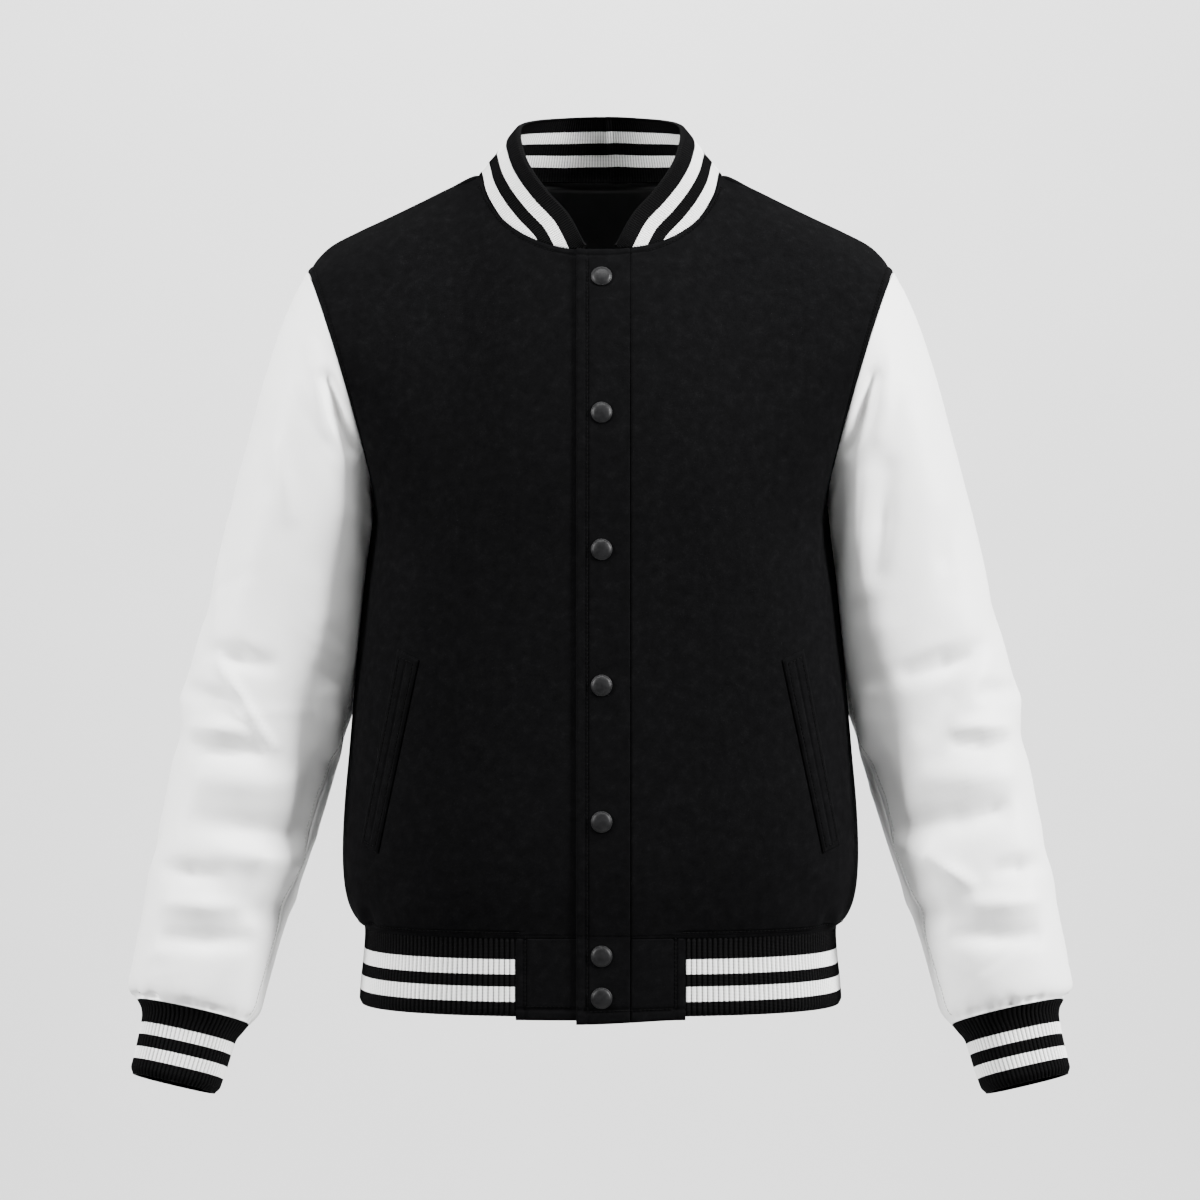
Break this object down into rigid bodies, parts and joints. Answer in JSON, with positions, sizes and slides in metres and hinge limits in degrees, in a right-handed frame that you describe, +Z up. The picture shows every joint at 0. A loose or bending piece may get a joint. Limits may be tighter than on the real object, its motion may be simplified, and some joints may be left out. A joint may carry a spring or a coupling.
{
  "type": "varsity jacket",
  "caption": "Snap-front varsity jacket: black wool body, white leather sleeves, striped rib collar, cuffs and hem, in its worn form.",
  "frame": {"origin": "midway between the two neck points of the shoulder seams, at their height, where the wearer's shoulders or a hanger hold the jacket", "axes": "+Z up, the front faces -Y, the wearer's left is +X"},
  "size_m": [0.742, 0.2655, 0.7844],
  "materials": {
    "wool": "matt wool melton",
    "leather": "smooth, low sheen",
    "rib": "rib knit, black with two white stripes",
    "snap": "black nickel, glossy"
  },
  "bodies": {
    "root": {"front_left": "wool", "front_right": "wool", "back": "wool", "hem_tab_left": "wool", "hem_tab_right": "wool", "placket": "wool", "pocket_welt_left": "wool", "pocket_welt_right": "wool", "top_sleeve_left": "leather", "top_sleeve_right": "leather", "under_sleeve_left": "leather", "under_sleeve_right": "leather", "collar": "rib", "cuff_left": "rib", "cuff_right": "rib", "hem_rib": "rib", "snap_1": "snap", "snap_2": "snap", "snap_3": "snap", "snap_4": "snap", "snap_5": "snap", "snap_6": "snap", "snap_7": "snap"}
  },
  "joints": []
}
